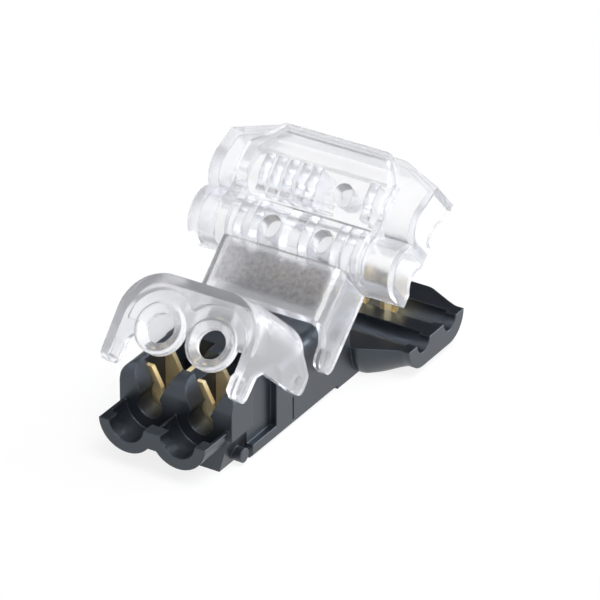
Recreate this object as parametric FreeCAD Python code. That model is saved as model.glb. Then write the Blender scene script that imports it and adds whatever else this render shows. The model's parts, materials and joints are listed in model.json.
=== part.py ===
import FreeCAD, Part
import math
import os

# T-tap wire connector, sizes in millimetres.
# The underside of the base is at z = 0. The stem runs along Y with its nose towards -Y,
# and the crossbar runs along X with its two wire channels on either side of y = 0.

# Fits
pivot_fit = 0.05
seat_gap = 0.1
side_gap = 0.15
ring_room = 0.1

# Wires and their channels
run_pitch = 4.4
run_wire_z = 3.1
run_channel_r = 1.4
run_notch_r = 1.0
branch_x = 2.5
branch_wire_z = 4.3
branch_channel_r = 1.2
branch_mouth_half = 1.95
branch_throat_half = 0.85
branch_throat_lift = 0.6

# Hinges
rear_hinge_y = -11.1
hinge_pitch = 4.9
front_hinge_y = rear_hinge_y - hinge_pitch
hinge_z = 4.6
pivot_r = 0.7
pivot_depth = 0.75
rear_open_angle = 42.0
front_open_angle = 42.5

# Base: stem and pillars
stem_half_width = 5.5
stem_height = 7.3
stem_edge_r = 0.9
stem_foot_chamfer = 0.35
stem_rear_y = -6.3
root_overlap = 2.0
pillar_reach = 8.9
pillar_front_y = front_hinge_y - pillar_reach
pillar_depth = 2.05
pillar_edge_r = 1.6
channel_reach = 1.8
channel_rear_y = front_hinge_y - channel_reach

# Base: nose
ring_r = 2.3
ring_bore_r = 1.3
nose_length = 3.6
nose_front_y = pillar_front_y - nose_length
nose_wall = 1.3
nose_lobe_wall = 0.3
nose_lobe_r = ring_r + ring_room + nose_lobe_wall
nose_notch_r = 1.7
nose_rim_drop = 0.15
nose_rim_z = branch_wire_z - nose_rim_drop
nose_divider = 1.7
nose_divider_z = 2.6

# Base: crossbar
crossbar_half_length = 10.3
crossbar_root_r = 4.05
crossbar_taper = 4.2
crossbar_shoulder = 1.6
crossbar_end_wall = 1.0
crossbar_tip_r = 2.35
crossbar_flare = 0.35
crossbar_blend_r = 1.5
crossbar_lip_r = 0.8

# Base: sides of the stem
recess_depth = 0.6
recess_front = 5.7
recess_rear = 2.0
recess_foot_z = 1.3
leg_bay_depth = 0.4
leg_bay_foot_depth = 1.25
leg_bay_z = 3.2
nub_r = 0.65
nub_reach = 6.9
nub_z = 0.95
seam_width = 0.2
seam_reach = 0.5
seam_z = (0.6, 2.8)

# Covers
cover_wall = 0.8

# Crossbar cover
neck_wall = 0.75
neck_front = 2.5
neck_corner_r = 1.6
neck_brow_back = 0.9
neck_brow_drop = 0.25
arm_lug_r = 1.2
arm_bend_y = 0.6
arm_bend_z = 0.3
arm_corner_r = 0.9
vault_front_reach = 2.4
vault_rear_reach = 4.8
vault_front_y = -run_pitch / 2 - vault_front_reach
vault_rear_y = run_pitch / 2 + vault_rear_reach
vault_half_length = 7.3
vault_rear_half = 5.0
vault_corner_reach = 2.0
corner_share_x = 0.7
corner_share_y = 0.4
barrel_top_z = stem_height + side_gap + neck_wall
crown_drop = 1.5
crown_r = 1.6
crest_r = 1.4
plateau_drop = 0.6
plateau_r = 0.4
far_crest_r = 1.0
ledge_r = 0.6
wall_tilt = 0.35
near_crest = (-0.9, 1.2)
far_crest = (-0.4, 1.7)
plateau_y = (-0.2, 1.0)
rear_ledge = 3.0
rear_ledge_drop = 0.8
cover_step = 0.1
cover_half_length = crossbar_half_length - cover_step
rear_taper_length = 4.0
rear_taper_depth = 1.6
rear_corner_r = 2.0
rear_skirt_wall = 0.6
rear_skirt_z = 2.45
tube_r = 2.45
tube_drop = 0.7
rear_slope = 20.0
exit_r = 1.35
exit_drop = 0.5
rib_thickness = 0.9
rib_half_width = 1.6
rib_lift = 0.4
near_ribs = (-5.2, -3.65, -0.6, 0.3, 1.3, 4.4, 5.5)
far_ribs = (-4.9, -3.7, -2.5, -1.2, -0.2, 5.4)
boss_r = 0.9
boss_gap = 0.15
near_bosses = (-2.2, 2.9)
far_bosses = (2.9,)
bar_width = 0.22
bar_height = 0.16
plateau_bars = {0.1: ((-2.2, -1.3), (-0.1, 0.8), (1.4, 2.8)), 0.75: ((-2.1, -1.1), (-0.3, 2.6))}

# Branch cover
shell_side_gap = 0.3
shell_half_width = stem_half_width + shell_side_gap + cover_wall
shell_head = 1.65
shell_top_z = stem_height + shell_head
shell_corner_r = 2.85
shell_reach = 1.3
shell_front_y = pillar_front_y - shell_reach
shell_rear_reach = 1.3
shell_rear_y = front_hinge_y - shell_rear_reach
rim_length = 2.4
rim_drop = 0.15
rim_corner_r = 3.9
skirt_z = 3.7
front_lug_r = 0.95
lug_corner_r = 0.8
brow_back = 0.3
brow_z = 1.7
shoulder_depth = 1.95
ring_step = 0.3
ring_front_y = shell_front_y + ring_step
ring_rear_gap = 0.15
ring_wall_y = pillar_front_y - ring_rear_gap
ring_chamfer = 0.6
ring_chamfer_depth = 0.36
ring_edge = 0.2
arch_r = 3.3
arch_depth = 0.75
leg_width = 2.5
leg_foot_z = 0.5
leg_foot_r = 0.8
leg_taper = 0.3
leg_waist_z = 3.0
leg_root = 0.9
tooth_gap = 0.1
tooth_z = (0.2, 2.2)
tooth_slope = (0.3, 0.5)
tooth_length = 1.5
pusher_half = (0.9, 0.85)
pusher_gap = 0.1

# Contacts
sheet = 0.45
plate_width = 3.7
plate_head = 2.2
plate_top_z = branch_wire_z + plate_head
plate_gap = 0.15
plate_pitch = 2.95
front_plate_y = pillar_front_y + pillar_depth + plate_gap + sheet / 2
throat_lift = 0.4
plate_shoulder = 0.6
shoulder_drop = 0.6
web_drop = 0.1
cell_floor_z = 2.6
strip_z = 0.6
strip_width = 1.8
slot_width = 0.6
run_plate_x = (1.5, 4.45)
run_plate_width = 3.0
run_plate_head = 1.9
run_throat_lift = 0.7
run_slot_drop = 1.2
run_strip_half = 0.8

beyond = 1.0
overlap = 0.1

V = FreeCAD.Vector
X_AXIS = V(1, 0, 0)
Y_AXIS = V(0, 1, 0)
near_y = -run_pitch / 2
far_y = run_pitch / 2


def on_yz(x):
    return lambda a, b: V(x, a, b)


def on_xz(y):
    return lambda a, b: V(a, y, b)


def on_xy(z):
    return lambda a, b: V(a, b, z)


def rounded_wire(points, place):
    """Closed outline through (a, b) corners; a third value rounds that corner."""
    corners = [V(p[0], p[1], 0) for p in points]
    radii = [p[2] if len(p) > 2 else 0 for p in points]
    count = len(corners)
    spans = []
    for i, here in enumerate(corners):
        if radii[i] == 0:
            spans.append((here, None, here))
            continue
        before = (corners[i - 1] - here).normalize()
        after = (corners[(i + 1) % count] - here).normalize()
        half = before.getAngle(after) / 2
        reach = radii[i] / math.tan(half)
        middle = (before + after).normalize()
        top = here + middle * (radii[i] / math.sin(half) - radii[i])
        spans.append((here + before * reach, top, here + after * reach))
    edges = []
    for i, (start, top, end) in enumerate(spans):
        if top is not None:
            arc = Part.Arc(place(start.x, start.y), place(top.x, top.y), place(end.x, end.y))
            edges.append(arc.toShape())
        following = spans[(i + 1) % count][0]
        if (following - end).Length > 1e-6:
            edges.append(Part.LineSegment(place(end.x, end.y), place(following.x, following.y)).toShape())
    return Part.Wire(edges)


def prism(points, place, along):
    return Part.Face(rounded_wire(points, place)).extrude(along)


def box(x, y, z):
    return Part.makeBox(x[1] - x[0], y[1] - y[0], z[1] - z[0], V(x[0], y[0], z[0]))


def rod_x(r, x, y, z):
    return Part.makeCylinder(r, x[1] - x[0], V(x[0], y, z), X_AXIS)


def rod_y(r, x, y, z):
    return Part.makeCylinder(r, y[1] - y[0], V(x, y[0], z), Y_AXIS)


def both_sides(shape):
    return shape.fuse(shape.mirror(V(0, 0, 0), X_AXIS))


def fused(shapes):
    return shapes[0].multiFuse(shapes[1:]).removeSplitter()


def opened(shape, hinge_y, degrees):
    turned = shape.copy()
    turned.rotate(V(0, hinge_y, hinge_z), X_AXIS, degrees)
    return turned


def stem():
    w, h, c = stem_half_width, stem_height, stem_foot_chamfer
    section = [(-w, c), (c - w, 0), (w - c, 0), (w, c), (w, h, stem_edge_r), (-w, h, stem_edge_r)]
    body = prism(section, on_xz(pillar_front_y), V(0, stem_rear_y - pillar_front_y, 0))
    side = [(pillar_front_y, -beyond), (stem_rear_y, -beyond), (stem_rear_y, h),
            (pillar_front_y, h, pillar_edge_r)]
    body = body.common(prism(side, on_yz(-w), V(2 * w, 0, 0)))
    root = box((-w, w), (stem_rear_y - root_overlap, near_y), (0, run_wire_z))
    return body.fuse(root)


def nose():
    """Two half barrels under the branch wires, joined by a divider at their front."""
    span = (nose_front_y, pillar_front_y)
    lobes = [rod_y(nose_lobe_r, x, span, branch_wire_z) for x in (-branch_x, branch_x)]
    divider = box((-nose_divider / 2, nose_divider / 2), (nose_front_y, nose_front_y + nose_wall),
                  (nose_divider_z, nose_rim_z))
    reach = branch_x + nose_lobe_r + beyond
    above_rim = box((-reach, reach), (nose_front_y - beyond, pillar_front_y + beyond),
                    (nose_rim_z, branch_wire_z + nose_lobe_r + beyond))
    return fused(lobes + [divider]).cut(above_rim)


def nose_cavities():
    """Notches in the front wall for the wires, and the room behind it for the rings."""
    tools = []
    for x in (-branch_x, branch_x):
        through = (nose_front_y - beyond, pillar_front_y)
        tools.append(rod_y(nose_notch_r, x, through, branch_wire_z))
        room = (nose_front_y + nose_wall, pillar_front_y)
        tools.append(rod_y(ring_r + ring_room, x, room, branch_wire_z))
    return tools


def branch_channels():
    """V mouths, round channels below them, a cell for each contact and a low wall between the cells."""
    tools = []
    throat_z = branch_wire_z + branch_throat_lift
    along = V(0, channel_rear_y - pillar_front_y + beyond, 0)
    above = stem_height + beyond
    margin = sheet / 2 + plate_gap
    cell_y = (front_plate_y - margin, front_plate_y + plate_pitch + margin)
    for x in (-branch_x, branch_x):
        tools.append(rod_y(branch_channel_r, x, (pillar_front_y - beyond, channel_rear_y), branch_wire_z))
        throat = (x - branch_throat_half, x + branch_throat_half)
        mouth = [(throat[0], branch_wire_z), (throat[1], branch_wire_z), (throat[1], throat_z),
                 (x + branch_mouth_half, stem_height), (x + branch_mouth_half, above),
                 (x - branch_mouth_half, above), (x - branch_mouth_half, stem_height), (throat[0], throat_z)]
        tools.append(prism(mouth, on_xz(pillar_front_y - beyond), along))
        tools.append(box((x - plate_width / 2, x + plate_width / 2), cell_y, (cell_floor_z, above)))
    tools.append(box((-branch_x, branch_x), cell_y, (plate_top_z - web_drop, above)))
    return tools


def side_details():
    """Bay for the latch leg, recess and seam on the +X side of the stem."""
    w = stem_half_width
    recess_y = (front_hinge_y - recess_front, front_hinge_y - recess_rear)
    section = [(w - leg_bay_foot_depth, 0), (w + beyond, 0), (w + beyond, leg_bay_z),
               (w - leg_bay_depth, leg_bay_z)]
    bay_start = pillar_front_y - beyond
    bay = prism(section, on_xz(bay_start), V(0, recess_y[0] - bay_start, 0))
    recess = box((w - recess_depth, w + beyond), recess_y, (recess_foot_z, stem_height + beyond))
    seam_y = front_hinge_y + seam_reach
    seam = box((w - seam_width, w + beyond), (seam_y, seam_y + seam_width), seam_z)
    return [bay, recess, seam]


def arm_barrel(y):
    """Barrel of the crossbar about one run channel, tapering to both ends."""
    root_x = crossbar_half_length - crossbar_taper
    half = [(0, 0), (0, crossbar_root_r), (root_x, crossbar_root_r, crossbar_blend_r),
            (crossbar_half_length - crossbar_shoulder, crossbar_tip_r + crossbar_flare, crossbar_blend_r),
            (crossbar_half_length - crossbar_shoulder / 2, crossbar_tip_r, crossbar_lip_r),
            (crossbar_half_length, crossbar_tip_r), (crossbar_half_length, 0)]
    wire = rounded_wire(half, lambda a, b: V(a, y, run_wire_z + b))
    barrel = Part.Face(wire).revolve(V(0, y, run_wire_z), X_AXIS, 360)
    return both_sides(barrel)


def crossbar():
    ends = (-crossbar_half_length, crossbar_half_length)
    web = box(ends, (near_y, far_y), (run_wire_z - crossbar_tip_r, run_wire_z))
    body = fused([arm_barrel(near_y), arm_barrel(far_y), web])
    reach = far_y + crossbar_root_r + beyond
    slab = box(ends, (-reach, reach), (0, run_wire_z))
    return body.common(slab)


def run_channels():
    tools = []
    inside = crossbar_half_length - crossbar_end_wall
    outside = crossbar_half_length + beyond
    for y in (near_y, far_y):
        tools.append(rod_x(run_channel_r, (-inside, inside), y, run_wire_z))
        tools.append(rod_x(run_notch_r, (-outside, outside), y, run_wire_z))
    return tools


def pivot_holes():
    depth = (stem_half_width - pivot_depth - pivot_fit, stem_half_width + beyond)
    return [rod_x(pivot_r + pivot_fit, depth, y, hinge_z) for y in (rear_hinge_y, front_hinge_y)]


def latch_nub():
    reach = (stem_half_width - leg_bay_foot_depth - overlap, stem_half_width - pivot_fit)
    return rod_x(nub_r, reach, front_hinge_y - nub_reach, nub_z)


def base_housing(contacts):
    body = fused([stem(), nose(), crossbar()])
    tools = nose_cavities() + branch_channels() + run_channels()
    for tool in side_details() + pivot_holes():
        tools.append(both_sides(tool))
    body = body.cut(tools)
    body = fused([body, both_sides(latch_nub())])
    return body.cut(contacts)


def forked_plate(centre, width, top_z, throat_z, slot_floor, place, along):
    """Upright sheet on a narrow leg, with a V mouth that leads into a slot for the wire."""
    w = width / 2
    s = slot_width / 2
    mouth = w - plate_shoulder
    leg = strip_width / 2
    shoulder_z = slot_floor - shoulder_drop
    right = [(leg, strip_z), (leg, shoulder_z), (w, shoulder_z), (w, top_z), (mouth, top_z), (s, throat_z),
             (s, slot_floor)]
    left = [(-a, b) for a, b in reversed(right)]
    return prism([(centre + a, b) for a, b in right + left], place, along)


def contact(side, run_y):
    """One sheet contact: side is -1 or 1, run_y is the run channel that it reaches."""
    x = side * branch_x
    pieces = []
    rear_plate_y = front_plate_y + plate_pitch
    for y in (front_plate_y, rear_plate_y):
        pieces.append(forked_plate(x, plate_width, plate_top_z, branch_wire_z + throat_lift,
                                   branch_wire_z - branch_channel_r, on_xz(y - sheet / 2), V(0, sheet, 0)))
    web_x = (x + plate_width / 2 - sheet, x + plate_width / 2)
    web_z = (branch_wire_z - branch_channel_r - shoulder_drop, plate_top_z - web_drop)
    pieces.append(box(web_x, (front_plate_y, rear_plate_y), web_z))
    strip_end = run_y + run_plate_width / 2
    foil = (strip_z, strip_z + sheet)
    pieces.append(box((x - strip_width / 2, x + strip_width / 2), (front_plate_y, strip_end), foil))
    for distance in run_plate_x:
        start = side * distance - sheet / 2
        pieces.append(forked_plate(run_y, run_plate_width, run_wire_z + run_plate_head,
                                   run_wire_z + run_throat_lift, run_wire_z - run_slot_drop,
                                   on_yz(start), V(sheet, 0, 0)))
    ends = sorted(side * d for d in run_plate_x)
    pieces.append(box(ends, (run_y - run_strip_half, run_y + run_strip_half), foil))
    return fused(pieces)


def cover_rear(inset):
    return vault_rear_y - (rear_skirt_wall if inset else 0)


def cover_foot(inset):
    return run_wire_z + seat_gap - (beyond if inset else 0)


def vault_outline(inset):
    """Section of the middle of the crossbar cover; inset 0 is the outside."""
    front = vault_front_y + inset
    top = barrel_top_z - inset
    low = top - plateau_drop
    rear = cover_rear(inset)
    lift = inset * wall_tilt
    foot = cover_foot(inset)
    return [(front, foot), (front, barrel_top_z - crown_drop - lift, crown_r - inset),
            (near_y + near_crest[0] + lift, top, crest_r - inset),
            (near_y + near_crest[1] - lift, top, ledge_r),
            (plateau_y[0] - lift, low, plateau_r), (plateau_y[1] + lift, low, plateau_r),
            (far_y + far_crest[0] + lift, top, ledge_r), (far_y + far_crest[1] - lift, top, far_crest_r),
            (far_y + rear_ledge - lift, low, ledge_r), (rear, top - rear_ledge_drop, ledge_r), (rear, foot)]


def vault_plan(inset):
    """Plan of the raised middle, with its rear corners cut off; the shares keep an even wall there."""
    half = vault_half_length - inset
    front = vault_front_y - beyond
    corner_y = far_y + vault_corner_reach - corner_share_y * inset
    rear_half = vault_rear_half - corner_share_x * inset
    rear = vault_rear_y
    return [(-half, front), (half, front), (half, corner_y), (rear_half, rear), (-rear_half, rear),
            (-half, corner_y)]


def tube_block(inset):
    """Ends of the crossbar cover: two tubes and the slope that leaves the rear one at a tangent."""
    half_length = cover_half_length - inset
    r = tube_r - inset
    top = barrel_top_z - tube_drop - inset
    centre_z = top - r
    foot = cover_foot(inset)
    rear = cover_rear(inset)
    span = (-half_length, half_length)
    pieces = []
    for y in (near_y, far_y):
        upper = box(span, (y - r, y + r), (centre_z, top))
        pieces.append(rod_x(r, span, y, centre_z).common(upper))
        pieces.append(box(span, (y - r, y + r), (foot, centre_z)))
    slope = math.radians(rear_slope)
    leave = (far_y + r * math.sin(slope), centre_z + r * math.cos(slope))
    drop = (rear - leave[0]) * math.tan(slope)
    wedge = [(far_y, foot), (rear, foot), (rear, leave[1] - drop), leave, (far_y, centre_z)]
    pieces.append(prism(wedge, on_yz(-half_length), V(2 * half_length, 0, 0)))
    return fused(pieces)


def cover_plan(inset):
    """Plan of the crossbar cover; the rear edge draws in towards both ends."""
    half = cover_half_length - inset
    rear = cover_rear(inset)
    end_rear = rear - rear_taper_depth
    bend = cover_half_length - rear_taper_length
    front = vault_front_y - beyond
    return [(-half, front), (half, front), (half, end_rear), (bend, rear, rear_corner_r),
            (-bend, rear, rear_corner_r), (-half, end_rear)]


def cover_block(inset):
    middle_half = vault_half_length - inset
    middle = prism(vault_outline(inset), on_yz(-middle_half), V(2 * middle_half, 0, 0))
    middle = middle.common(prism(vault_plan(inset), on_xy(0), V(0, 0, barrel_top_z + beyond)))
    plan = prism(cover_plan(inset), on_xy(0), V(0, 0, barrel_top_z + beyond))
    return middle.fuse(tube_block(inset)).common(plan)


def neck():
    """Saddle over the stem, with an arm down each side to its hinge lug."""
    inner = stem_half_width + side_gap
    outer = inner + neck_wall
    roof = stem_height + side_gap
    top = roof + neck_wall
    foot = run_wire_z + seat_gap
    inner_r = neck_corner_r - neck_wall
    saddle = [(-outer, foot), (outer, foot), (outer, top, neck_corner_r), (-outer, top, neck_corner_r)]
    below = foot - beyond
    hollow = [(-inner, below), (inner, below), (inner, roof, inner_r), (-inner, roof, inner_r)]
    start = rear_hinge_y - arm_lug_r
    end = vault_front_y + cover_wall / 2
    shell = prism(saddle, on_xz(start), V(0, end - start, 0))
    shell = shell.cut(prism(hollow, on_xz(start - beyond), V(0, end - start + 2 * beyond, 0)))
    edge_y = rear_hinge_y + neck_front
    lug_top = hinge_z + arm_lug_r
    side = [(start, foot, arm_corner_r), (end, foot), (end, top + beyond), (edge_y, top + beyond),
            (edge_y - neck_brow_back, roof - neck_brow_drop, ledge_r),
            (rear_hinge_y + arm_bend_y, lug_top + arm_bend_z, arm_lug_r), (start, lug_top, arm_corner_r)]
    return shell.common(prism(side, on_yz(-outer), V(2 * outer, 0, 0)))


def rear_skirt():
    """Lip that hangs behind the crossbar, and a little way round its ends."""
    deep = V(0, 0, run_wire_z - rear_skirt_z + 2 * beyond)
    lip = prism(cover_plan(0), on_xy(rear_skirt_z), deep)
    lip = lip.cut(prism(cover_plan(cover_wall), on_xy(rear_skirt_z), deep))
    start = far_y + crossbar_tip_r + side_gap + overlap
    ends = (-cover_half_length, cover_half_length)
    return lip.common(box(ends, (start, vault_rear_y), (rear_skirt_z, barrel_top_z)))


def pressing_ribs():
    """Ribs and round bosses that press each run wire down on its contact."""
    rows = {near_y: (near_ribs, near_bosses), far_y: (far_ribs, far_bosses)}
    crown_z = run_wire_z + rib_lift
    boss_z = run_wire_z + run_plate_head + boss_gap
    pieces = []
    for y, (ribs, bosses) in rows.items():
        for x in ribs:
            span = (x - rib_thickness / 2, x + rib_thickness / 2)
            plate = box(span, (y - rib_half_width, y + rib_half_width), (crown_z + overlap, barrel_top_z))
            pieces.append(plate.cut(rod_x(run_channel_r, span, y, crown_z)))
        for x in bosses:
            pieces.append(Part.makeCylinder(boss_r, barrel_top_z - boss_z, V(x, y, boss_z)))
    return pieces


def raised_bars():
    """Plain raised dashes on the flat between the two wires."""
    top = barrel_top_z - plateau_drop
    bars = []
    for y, spans in plateau_bars.items():
        for span in spans:
            bars.append(box(span, (y - bar_width / 2, y + bar_width / 2), (top - overlap, top + bar_height)))
    return bars


def crossbar_cover():
    shell = cover_block(0).cut(cover_block(cover_wall))
    inside = cover_block(cover_wall / 2)
    ribs = [rib.common(inside) for rib in pressing_ribs()]
    boss = rod_x(pivot_r, (stem_half_width - pivot_depth, stem_half_width + side_gap + overlap),
                 rear_hinge_y, hinge_z)
    body = fused([shell, neck(), rear_skirt(), both_sides(boss)] + ribs + raised_bars())
    ends = (-cover_half_length - beyond, cover_half_length + beyond)
    exits = [rod_x(exit_r, ends, y, run_wire_z - exit_drop) for y in (near_y, far_y)]
    return body.cut(exits)


def shell_section(inset, top, corner_r, y):
    w = shell_half_width - inset
    foot = skirt_z - beyond - inset
    r = corner_r - inset
    points = [(-w, foot), (w, foot), (w, top - inset, r), (-w, top - inset, r)]
    return rounded_wire(points, on_xz(y))


def shell_solid(inset):
    """Body of the branch cover, rounder towards its front rim."""
    rim_end = shell_front_y + rim_length
    middle = shell_section(inset, shell_top_z, shell_corner_r, rim_end)
    front = shell_section(inset, shell_top_z - rim_drop, rim_corner_r, shell_front_y)
    length = front_hinge_y + front_lug_r + beyond - rim_end
    return Part.makeLoft([front, middle], True, True).fuse(Part.Face(middle).extrude(V(0, length, 0)))


def side_profile():
    """Side view of the branch cover: skirt, rounded lug and rear edge."""
    lug_rear = front_hinge_y + front_lug_r
    top = shell_top_z + beyond
    return [(shell_front_y, skirt_z), (lug_rear, skirt_z, lug_corner_r),
            (lug_rear, hinge_z + front_lug_r, lug_corner_r),
            (front_hinge_y - brow_back, hinge_z + brow_z, front_lug_r),
            (shell_rear_y, shell_top_z - shoulder_depth, lug_corner_r), (shell_rear_y, top),
            (shell_front_y, top)]


def latch_leg():
    inner = shell_half_width - cover_wall
    front = shell_front_y
    rear = front + leg_width
    root = hinge_z + overlap
    side = [(front, root), (front, leg_foot_z, leg_foot_r), (rear - leg_taper, leg_foot_z, leg_foot_r),
            (rear, leg_waist_z), (rear + leg_root, skirt_z), (rear + leg_root, root)]
    leg = prism(side, on_yz(inner), V(cover_wall, 0, 0))
    tip = stem_half_width + tooth_gap
    low = leg_foot_z + tooth_z[0]
    high = leg_foot_z + tooth_z[1]
    tooth = [(tip, low + tooth_slope[0]), (inner + overlap, low), (inner + overlap, high),
             (tip, high - tooth_slope[1])]
    return leg.fuse(prism(tooth, on_xz(front), V(0, tooth_length, 0)))


def wire_ring(x):
    edge_y = ring_front_y + ring_edge
    tube = rod_y(ring_r, x, (edge_y, ring_wall_y), branch_wire_z)
    lip = Part.makeCone(ring_r - ring_edge, ring_r, ring_edge, V(x, ring_front_y, branch_wire_z), Y_AXIS)
    return tube.fuse(lip)


def ring_openings(x):
    """Through bore of a ring and the chamfer at its front."""
    bore = rod_y(ring_bore_r, x, (shell_front_y - beyond, ring_wall_y + beyond), branch_wire_z)
    chamfer = Part.makeCone(ring_bore_r + ring_chamfer, ring_bore_r, ring_chamfer_depth,
                            V(x, ring_front_y, branch_wire_z), Y_AXIS)
    return [bore, chamfer]


def wire_pusher(x):
    """Block under the roof that presses a branch wire down between the two plates."""
    middle_y = front_plate_y + plate_pitch / 2 - pusher_gap
    foot = branch_wire_z + branch_channel_r + pusher_gap
    roof = shell_top_z - cover_wall / 2
    across = (x - pusher_half[0], x + pusher_half[0])
    along = (middle_y - pusher_half[1], middle_y + pusher_half[1])
    return box(across, along, (foot, roof))


def branch_cover():
    inner = shell_half_width - cover_wall
    ahead = box((-shell_half_width, shell_half_width), (shell_front_y - beyond, ring_wall_y),
                (-beyond, shell_top_z + beyond))
    tools = [shell_solid(cover_wall).cut(ahead)]
    front_y = (shell_front_y - beyond, ring_wall_y + beyond)
    tools.append(box((-inner, inner), front_y, (0, branch_wire_z + overlap)))
    for x in (-branch_x, branch_x):
        tools.append(rod_y(arch_r, x, (shell_front_y - beyond, shell_front_y + arch_depth), branch_wire_z))
    shell = shell_solid(0).cut(tools)
    shell = shell.common(prism(side_profile(), on_yz(-shell_half_width), V(2 * shell_half_width, 0, 0)))
    boss = rod_x(pivot_r, (stem_half_width - pivot_depth, inner + overlap), front_hinge_y, hinge_z)
    pieces = [shell, both_sides(latch_leg()), both_sides(boss)]
    openings = []
    for x in (-branch_x, branch_x):
        pieces.append(wire_ring(x))
        pieces.append(wire_pusher(x))
        openings += ring_openings(x)
    return fused(pieces).cut(openings)


contact_left = contact(-1, near_y)
contact_right = contact(1, far_y)
nodes = {
    "base_housing": base_housing([contact_left, contact_right]),
    "contact_left": contact_left,
    "contact_right": contact_right,
    "crossbar_cover": opened(crossbar_cover(), rear_hinge_y, rear_open_angle),
    "branch_cover": opened(branch_cover(), front_hinge_y, -front_open_angle),
}

os.makedirs("parts", exist_ok=True)
for name, shape in nodes.items():
    shape.exportStep("parts/" + name + ".step")
    size = shape.BoundBox
    print(name, shape.isValid(), len(shape.Solids), round(shape.Volume, 2),
          round(size.XLength, 2), round(size.YLength, 2), round(size.ZLength, 2))
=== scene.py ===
import bpy
import json
import math
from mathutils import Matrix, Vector

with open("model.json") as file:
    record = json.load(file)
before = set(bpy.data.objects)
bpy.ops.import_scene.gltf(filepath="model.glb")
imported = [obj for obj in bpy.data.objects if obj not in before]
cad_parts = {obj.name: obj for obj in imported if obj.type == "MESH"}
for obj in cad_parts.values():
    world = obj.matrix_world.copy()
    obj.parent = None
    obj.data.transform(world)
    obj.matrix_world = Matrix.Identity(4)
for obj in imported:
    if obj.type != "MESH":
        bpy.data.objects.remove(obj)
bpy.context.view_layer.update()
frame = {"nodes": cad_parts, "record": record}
MM = 0.001
WHITE = (1.0, 1.0, 1.0, 1.0)

# Camera: a long lens, turned about 32 degrees to the right of the nose and 30 degrees up
AZIMUTH = math.radians(31.87)
ELEVATION = math.radians(29.63)
CAMERA_DISTANCE = 450 * MM
FOCAL_MM = 313.2
SENSOR_MM = 36
CLIP_NEAR = 10 * MM
CLIP_FAR = 20.0
AIM = Vector((-2.89, -0.83, 2.54)) * MM

# Lamps, in metres and watts: one above to the right, and a low one to the right and behind
LAMP_AIM = (0, -0.01, 0.005)
KEY_PLACE = (0.24, -0.16, 0.48)
KEY_SIZE = (0.35, 0.35)
KEY_POWER = 2.7
KEY_COLOUR = (1.0, 1.0, 1.0)
SIDE_PLACE = (0.24, 0.3, 0.13)
SIDE_SIZE = (0.4, 0.2)
SIDE_POWER = 1.6
SIDE_COLOUR = (0.88, 0.93, 1.0)

# Dark card behind the part, which the faces that look up mirror
CARD_AIM = (0, 0, 0)
CARD_PLACE = (-0.3, 0.48, 0.36)
CARD_SIZE = (0.8, 0.7)
CARD_COLOUR = (0.03, 0.03, 0.035, 1)

# Light that the room sheds from in front of the part and from behind it, by the ray's Y
ROOM_FRONT = 0.15
ROOM_BACK = 0.55
ROOM_FRONT_Y = -0.7
ROOM_BACK_Y = 0.5

# White paper of the floor; share of it that shows as lit by the part, and how far that reaches
FLOOR_SIZE = 8.0
PAPER_COLOUR = (0.9, 0.9, 0.9, 1)
SHADOW_SHARE = 0.18
SHADOW_NEAR = 25 * MM
SHADOW_FAR = 60 * MM

# Moulded plastics: the radius that softens their edges, and their index of refraction
EDGE_RADIUS = 0.16 * MM
PLASTIC_IOR = 1.5

# Black plastic of the base; the scales of all noise are in features to the metre
HOUSING_CLOUDS = 350
HOUSING_DEEP = (0.005, 0.006, 0.008, 1)
HOUSING_PALE = (0.009, 0.011, 0.014, 1)
HOUSING_ROUGHNESS = (0.3, 0.4)
HOUSING_SPECULAR = 0.95
HOUSING_TINT = (0.76, 0.87, 1.0, 1)
GRAIN_SCALE = 5200
GRAIN_HEIGHT = 0.02 * MM
GRAIN_STRENGTH = 0.35

# Clear plastic of the covers; the last colour is what passes of a lamp's light
CLEAR_CLOUDS = 260
CLEAR_DIM = (0.91, 0.91, 0.915, 1)
CLEAR_PALE = (0.95, 0.95, 0.955, 1)
CLEAR_ROUGHNESS = (0.12, 0.2)
CLEAR_TRANSMISSION = 0.86
RIPPLE_SCALE = 900
RIPPLE_HEIGHT = 0.09 * MM
RIPPLE_STRENGTH = 0.25
ABSORPTION_COLOUR = (0.9, 0.9, 0.91, 1)
ABSORPTION_DENSITY = 550
PASSING_COLOUR = (0.93, 0.935, 0.95, 1)

# Frosted panel on the neck of the crossbar cover: its finish, and its place in the closed pose
NECK_COVER = "crossbar_cover"
FROST_SCALE = 2600
FROST_DEEP = (0.34, 0.33, 0.335, 1)
FROST_PALE = (0.66, 0.635, 0.635, 1)
FROST_ROUGHNESS = 0.42
FROST_HEIGHT = 0.02 * MM
PANEL_HALF_WIDTH = 5.3 * MM
PANEL_FRONT_Y = -8.55 * MM
PANEL_REAR_Y = -4.5 * MM
PANEL_LOW_Z = 7.2 * MM
PANEL_FADE = 0.5 * MM

# Plated sheet of the contacts, with stamped edges and rolling marks drawn out along Z
METAL_CLOUDS = 600
METAL_DEEP = (0.96, 0.72, 0.34, 1)
METAL_PALE = (1.0, 0.86, 0.54, 1)
METAL_ROUGHNESS = (0.26, 0.46)
METAL_SHARE = 0.75
MARK_SCALE = 3000
MARK_STRETCH = (1, 1, 0.1)
MARK_HEIGHT = 0.01 * MM
MARK_STRENGTH = 0.5
SHEET_EDGE_RADIUS = 0.04 * MM

# Inputs and output of a Mix node for numbers and for colours
MIX_SOCKETS = {"FLOAT": (2, 3, 0), "RGBA": (6, 7, 2)}


def point_from(obj, place, aim):
    """Put an object at a place, with its own -Z axis pointing at the aim."""
    obj.location = place
    obj.rotation_euler = (Vector(place) - Vector(aim)).to_track_quat("Z", "Y").to_euler()


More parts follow.
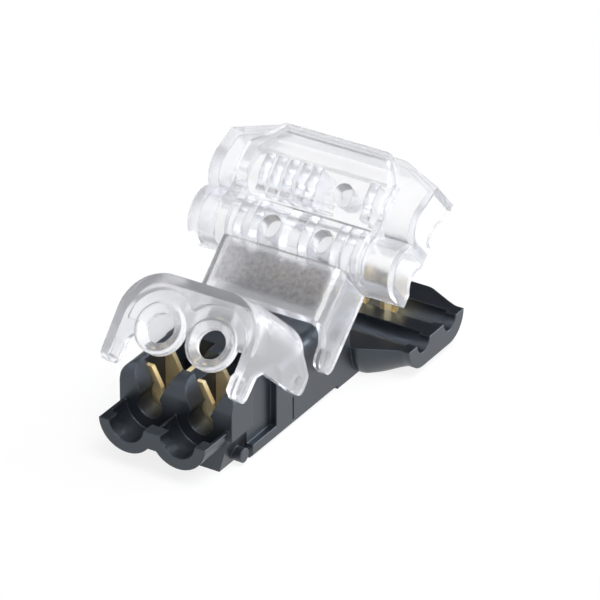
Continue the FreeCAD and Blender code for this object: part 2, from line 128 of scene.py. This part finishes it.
def camera():
    """Camera at the viewing angle, with no depth of field and no shift."""
    direction = Vector((math.sin(AZIMUTH) * math.cos(ELEVATION),
                        -math.cos(AZIMUTH) * math.cos(ELEVATION), math.sin(ELEVATION)))
    data = bpy.data.cameras.new("camera")
    data.lens = FOCAL_MM
    data.sensor_width = SENSOR_MM
    data.clip_start = CLIP_NEAR
    data.clip_end = CLIP_FAR
    cam = bpy.data.objects.new("camera", data)
    bpy.context.collection.objects.link(cam)
    point_from(cam, AIM + direction * CAMERA_DISTANCE, AIM)
    bpy.context.scene.camera = cam


def feed(tree, socket, value):
    """Set a socket to a plain value, or link it from another node's socket."""
    if isinstance(value, bpy.types.NodeSocket):
        tree.links.new(value, socket)
    else:
        socket.default_value = value


def add(tree, kind, **inputs):
    """New node; its inputs are fed by keyword, with an underscore for each space in their names."""
    node = tree.nodes.new("ShaderNode" + kind)
    for name, value in inputs.items():
        feed(tree, node.inputs[name.replace("_", " ")], value)
    return node


def maths(tree, operation, *values):
    """Result of a Math node on numbers or sockets."""
    node = add(tree, "Math")
    node.operation = operation
    for socket, value in zip(node.inputs, values):
        feed(tree, socket, value)
    return node.outputs["Value"]


def noise(tree, scale, detail, stretch=None):
    """Noise in the part's own space; a stretch scales the axes of that space first."""
    place = add(tree, "TexCoord").outputs["Object"]
    if stretch:
        place = add(tree, "Mapping", Vector=place, Scale=stretch).outputs["Vector"]
    return add(tree, "TexNoise", Vector=place, Scale=scale, Detail=detail).outputs["Fac"]


def ramp(tree, source, low, high, start=0.3, end=0.7):
    """Colour that runs from low to high as the source goes from start to end."""
    node = add(tree, "ValToRGB", Fac=source)
    for element, position, colour in zip(node.color_ramp.elements, (start, end), (low, high)):
        element.position = position
        element.color = colour
    return node.outputs["Color"]


def spread(tree, source, low, high, start=0.0, end=1.0):
    """Number that runs from low to high as the source goes from start to end."""
    node = add(tree, "MapRange", Value=source, From_Min=start, From_Max=end, To_Min=low, To_Max=high)
    return node.outputs["Result"]


def blended(tree, kind, share, low, high):
    """Mix by a share from 0 to 1 of two numbers, kind FLOAT, or two colours, kind RGBA."""
    node = add(tree, "Mix", Factor=share)
    node.data_type = kind
    first, second, result = MIX_SOCKETS[kind]
    feed(tree, node.inputs[first], low)
    feed(tree, node.inputs[second], high)
    return node.outputs[result]


def soft_edges(tree, radius):
    """Normal that rounds the edges of a solid in the shading."""
    return add(tree, "Bevel", Radius=radius).outputs["Normal"]


def bump(tree, source, distance, strength, under):
    """Relief of a height on top of another normal; the strength is a number or a socket."""
    node = add(tree, "Bump", Distance=distance, Strength=strength, Height=source, Normal=under)
    return node.outputs["Normal"]


def any_ray(tree, *names):
    """1 on the kinds of ray that are named, 0 on the others."""
    rays = add(tree, "LightPath")
    either = rays.outputs[names[0]]
    for name in names[1:]:
        either = maths(tree, "MAXIMUM", either, rays.outputs[name])
    return either


def either_shader(tree, share, first, second):
    """Second shader by a share from 0 to 1, the first for the rest."""
    node = add(tree, "MixShader", Fac=share)
    tree.links.new(first, node.inputs[1])
    tree.links.new(second, node.inputs[2])
    return node.outputs["Shader"]


def new_material(name):
    """Empty material and its node tree."""
    mat = bpy.data.materials.new(name)
    mat.use_nodes = True
    mat.node_tree.nodes.clear()
    return mat, mat.node_tree


def housing_material():
    """Satin black plastic with a fine moulded grain."""
    mat, tree = new_material("housing_plastic")
    broad = noise(tree, HOUSING_CLOUDS, detail=4)
    grain = noise(tree, GRAIN_SCALE, detail=2)
    edges = soft_edges(tree, EDGE_RADIUS)
    shader = add(tree, "BsdfPrincipled",
                 Base_Color=ramp(tree, broad, HOUSING_DEEP, HOUSING_PALE),
                 Roughness=spread(tree, broad, *HOUSING_ROUGHNESS),
                 Normal=bump(tree, grain, GRAIN_HEIGHT, GRAIN_STRENGTH, edges),
                 IOR=PLASTIC_IOR,
                 Specular_IOR_Level=HOUSING_SPECULAR,
                 Specular_Tint=HOUSING_TINT)
    add(tree, "OutputMaterial", Surface=shader.outputs["BSDF"])
    return mat


def neck_panel(tree):
    """1 on the panel of the neck, 0 elsewhere, from the place that a point has in the closed pose."""
    hinge = next(j for j in frame["record"]["behaviour"]["joints"] if j["child"] == NECK_COVER)
    closed = add(tree, "VectorRotate", Vector=add(tree, "TexCoord").outputs["Object"],
                 Center=hinge["pos_m"], Angle=math.radians(hinge["range_deg"][0]))
    closed.rotation_type = "X_AXIS"
    axes = add(tree, "SeparateXYZ", Vector=closed.outputs["Vector"])
    aside = maths(tree, "ABSOLUTE", axes.outputs["X"])
    along, up = axes.outputs["Y"], axes.outputs["Z"]
    panel = spread(tree, aside, 1, 0, PANEL_HALF_WIDTH - PANEL_FADE, PANEL_HALF_WIDTH)
    for share in (spread(tree, along, 0, 1, PANEL_FRONT_Y, PANEL_FRONT_Y + PANEL_FADE),
                  spread(tree, along, 1, 0, PANEL_REAR_Y - PANEL_FADE, PANEL_REAR_Y),
                  spread(tree, up, 0, 1, PANEL_LOW_Z, PANEL_LOW_Z + PANEL_FADE)):
        panel = maths(tree, "MULTIPLY", panel, share)
    return panel


def clear_material(name, with_panel=False):
    """Clear plastic, a little milky and dimmer where it is thick, that lets lamp light through."""
    mat, tree = new_material(name)
    broad = noise(tree, CLEAR_CLOUDS, detail=3)
    ripple = noise(tree, RIPPLE_SCALE, detail=2)
    colour = ramp(tree, broad, CLEAR_DIM, CLEAR_PALE)
    roughness = spread(tree, broad, *CLEAR_ROUGHNESS)
    normal = bump(tree, ripple, RIPPLE_HEIGHT, RIPPLE_STRENGTH, soft_edges(tree, EDGE_RADIUS))
    if with_panel:
        panel = neck_panel(tree)
        frost = noise(tree, FROST_SCALE, detail=3)
        colour = blended(tree, "RGBA", panel, colour, ramp(tree, frost, FROST_DEEP, FROST_PALE))
        roughness = blended(tree, "FLOAT", panel, roughness, FROST_ROUGHNESS)
        normal = bump(tree, frost, FROST_HEIGHT, panel, normal)
    shader = add(tree, "BsdfPrincipled", Base_Color=colour, Roughness=roughness, Normal=normal,
                 Transmission_Weight=CLEAR_TRANSMISSION, IOR=PLASTIC_IOR)
    passing = add(tree, "BsdfTransparent", Color=PASSING_COLOUR)
    surface = either_shader(tree, any_ray(tree, "Is Shadow Ray"),
                            shader.outputs["BSDF"], passing.outputs["BSDF"])
    inside = add(tree, "VolumeAbsorption", Color=ABSORPTION_COLOUR, Density=ABSORPTION_DENSITY)
    add(tree, "OutputMaterial", Surface=surface, Volume=inside.outputs["Volume"])
    return mat


def contact_material():
    """Bright plated sheet with faint rolling marks."""
    mat, tree = new_material("contact_metal")
    broad = noise(tree, METAL_CLOUDS, detail=3)
    marks = noise(tree, MARK_SCALE, detail=3, stretch=MARK_STRETCH)
    edges = soft_edges(tree, SHEET_EDGE_RADIUS)
    shader = add(tree, "BsdfPrincipled",
                 Base_Color=ramp(tree, broad, METAL_DEEP, METAL_PALE),
                 Roughness=spread(tree, marks, *METAL_ROUGHNESS),
                 Normal=bump(tree, marks, MARK_HEIGHT, MARK_STRENGTH, edges),
                 Metallic=METAL_SHARE)
    add(tree, "OutputMaterial", Surface=shader.outputs["BSDF"])
    return mat


def studio():
    """White to the camera and in gloss and glass; it sheds the light of a room that is dim in front."""
    world = bpy.data.worlds.new("studio")
    world.use_nodes = True
    tree = world.node_tree
    tree.nodes.clear()
    axes = add(tree, "SeparateXYZ", Vector=add(tree, "TexCoord").outputs["Generated"])
    level = spread(tree, axes.outputs["Y"], ROOM_FRONT, ROOM_BACK, ROOM_FRONT_Y, ROOM_BACK_Y)
    room = add(tree, "Background", Color=level)
    white = add(tree, "Background", Color=WHITE)
    seen = any_ray(tree, "Is Camera Ray", "Is Glossy Ray", "Is Transmission Ray")
    surface = either_shader(tree, seen, room.outputs["Background"], white.outputs["Background"])
    add(tree, "OutputWorld", Surface=surface)
    bpy.context.scene.world = world


def floor_material():
    """Matt white paper; the camera, gloss and glass see it as white, with a faint shadow by the part."""
    mat, tree = new_material("floor_white")
    distance = add(tree, "VectorMath", Vector=add(tree, "TexCoord").outputs["Object"])
    distance.operation = "LENGTH"
    share = spread(tree, distance.outputs["Value"], 1 - SHADOW_SHARE, 1, SHADOW_NEAR, SHADOW_FAR)
    seen = any_ray(tree, "Is Camera Ray", "Is Glossy Ray", "Is Transmission Ray")
    paper = add(tree, "BsdfDiffuse", Color=PAPER_COLOUR)
    white = add(tree, "Emission", Color=WHITE)
    surface = either_shader(tree, maths(tree, "MULTIPLY", seen, share),
                            paper.outputs["BSDF"], white.outputs["Emission"])
    add(tree, "OutputMaterial", Surface=surface)
    return mat


def card_material():
    """Matt dark card."""
    mat, tree = new_material("card_dark")
    paper = add(tree, "BsdfDiffuse", Color=CARD_COLOUR)
    add(tree, "OutputMaterial", Surface=paper.outputs["BSDF"])
    return mat


def stage_sheet(name, width, height, material):
    """Flat rectangle about its own origin that is part of the stage, not of the object."""
    x, y = width / 2, height / 2
    mesh = bpy.data.meshes.new(name)
    mesh.from_pydata([(-x, -y, 0), (x, -y, 0), (x, y, 0), (-x, y, 0)], [], [(0, 1, 2, 3)])
    mesh.materials.append(material)
    obj = bpy.data.objects.new(name, mesh)
    bpy.context.collection.objects.link(obj)
    return obj


def card():
    """Dark card that gloss and glass mirror; the camera doesn't see it and it casts no shadow."""
    obj = stage_sheet("card", *CARD_SIZE, card_material())
    point_from(obj, CARD_PLACE, CARD_AIM)
    obj.visible_camera = False
    obj.visible_shadow = False
    obj.visible_diffuse = False


def lamp(name, place, size, power, colour):
    """Rectangular soft lamp that points at the middle of the part."""
    data = bpy.data.lights.new(name, "AREA")
    data.shape = "RECTANGLE"
    data.size, data.size_y = size
    data.energy = power
    data.color = colour
    obj = bpy.data.objects.new(name, data)
    bpy.context.collection.objects.link(obj)
    point_from(obj, place, LAMP_AIM)


def dress():
    """Give each CAD node the finish of its slot; the crossbar cover has one of its own."""
    finishes = {"housing_black": housing_material(),
                "cover_clear": clear_material("clear_plastic"),
                "contact_gold": contact_material()}
    own = {NECK_COVER: clear_material("clear_plastic_panel", with_panel=True)}
    for part in frame["record"]["subparts"]:
        obj = frame["nodes"][part["node"]]
        obj.data.materials.clear()
        obj.data.materials.append(own.get(part["node"], finishes[part["material_slot"]]))


bpy.context.scene.view_settings.view_transform = "Standard"
camera()
studio()
stage_sheet("floor", FLOOR_SIZE, FLOOR_SIZE, floor_material())
lamp("key", KEY_PLACE, KEY_SIZE, KEY_POWER, KEY_COLOUR)
lamp("right", SIDE_PLACE, SIDE_SIZE, SIDE_POWER, SIDE_COLOUR)
card()
dress()
